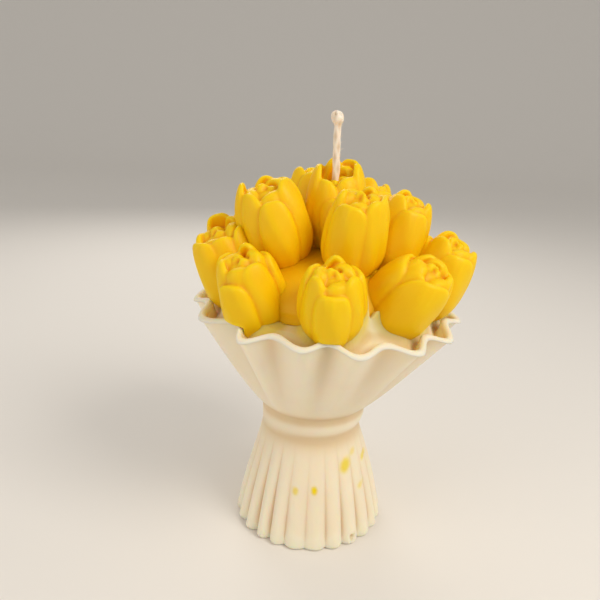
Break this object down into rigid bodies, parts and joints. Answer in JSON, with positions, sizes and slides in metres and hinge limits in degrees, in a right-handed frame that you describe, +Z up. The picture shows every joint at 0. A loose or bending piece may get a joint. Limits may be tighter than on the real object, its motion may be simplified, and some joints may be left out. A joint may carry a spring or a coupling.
{
  "type": "tulip bouquet candle",
  "caption": "Free-standing moulded wax candle shaped as a bunch of tulips in a fluted paper cone with a pleated skirt, with a cotton wick through the middle.",
  "frame": {"origin": "centre of the flat base that the candle stands on", "axes": "+Z up along the wick, +X to the right and -Y towards the front of the bouquet"},
  "size_m": [0.0724, 0.0713, 0.1129],
  "materials": {
    "ivory_wax": "satin cast wax, ivory, slightly translucent",
    "yellow_wax": "satin cast wax, warm yellow, slightly translucent",
    "cotton_wick": "braided cotton cord, lightly waxed"
  },
  "bodies": {
    "root": {"flower_core": "yellow_wax", "paper_wrap": "ivory_wax", "tulip_lower_1": "yellow_wax", "tulip_lower_2": "yellow_wax", "tulip_lower_3": "yellow_wax", "tulip_lower_4": "yellow_wax", "tulip_lower_5": "yellow_wax", "tulip_lower_6": "yellow_wax", "tulip_lower_7": "yellow_wax", "tulip_lower_8": "yellow_wax", "tulip_lower_9": "yellow_wax", "tulip_top": "yellow_wax", "tulip_upper_1": "yellow_wax", "tulip_upper_2": "yellow_wax", "tulip_upper_3": "yellow_wax", "tulip_upper_4": "yellow_wax", "tulip_upper_5": "yellow_wax", "wick": "cotton_wick"}
  },
  "joints": []
}
